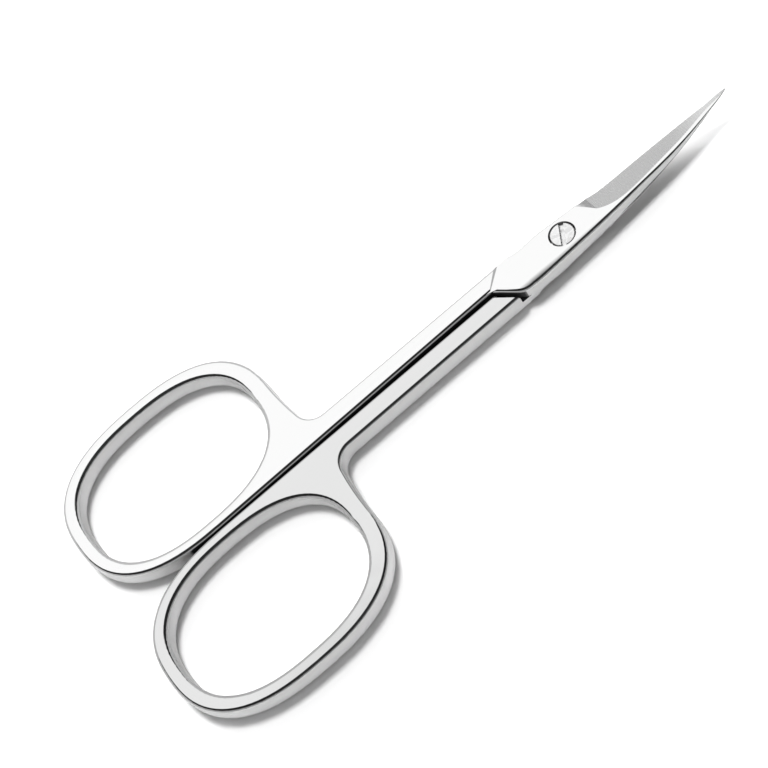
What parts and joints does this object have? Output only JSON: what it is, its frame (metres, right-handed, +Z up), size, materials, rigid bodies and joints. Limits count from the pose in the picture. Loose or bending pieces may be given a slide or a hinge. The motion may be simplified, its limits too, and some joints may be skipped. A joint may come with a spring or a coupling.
{
  "type": "cuticle scissors",
  "caption": "Small polished-steel cuticle scissors with upward-curved pointed blades, long parallel shanks, oval finger rings and a slotted pivot screw.",
  "frame": {"origin": "bottom centre of the closed scissors' box, on the plane they lie on", "axes": "+X along the length towards the blade tips, +Y towards the finger ring of the half whose blade is on top, +Z up, the way the blades curve"},
  "size_m": [0.0896, 0.0422, 0.0037],
  "materials": {
    "upper_half": "mirror-polished forged stainless steel, satin-ground blade bevel",
    "lower_half": "mirror-polished forged stainless steel, satin-ground blade bevel",
    "pivot_screw": "turned stainless steel, lightly scuffed head"
  },
  "bodies": {
    "lower": {"lower_half": "lower_half", "pivot_screw": "pivot_screw"},
    "upper": {"upper_half": "upper_half"}
  },
  "joints": [
    {"name": "pivot", "type": "hinge", "parent": "lower", "child": "upper", "pos_m": [0.0204, 0, 0.0013], "axis": [0, 0, -1], "range_deg": [0, 144]}
  ]
}
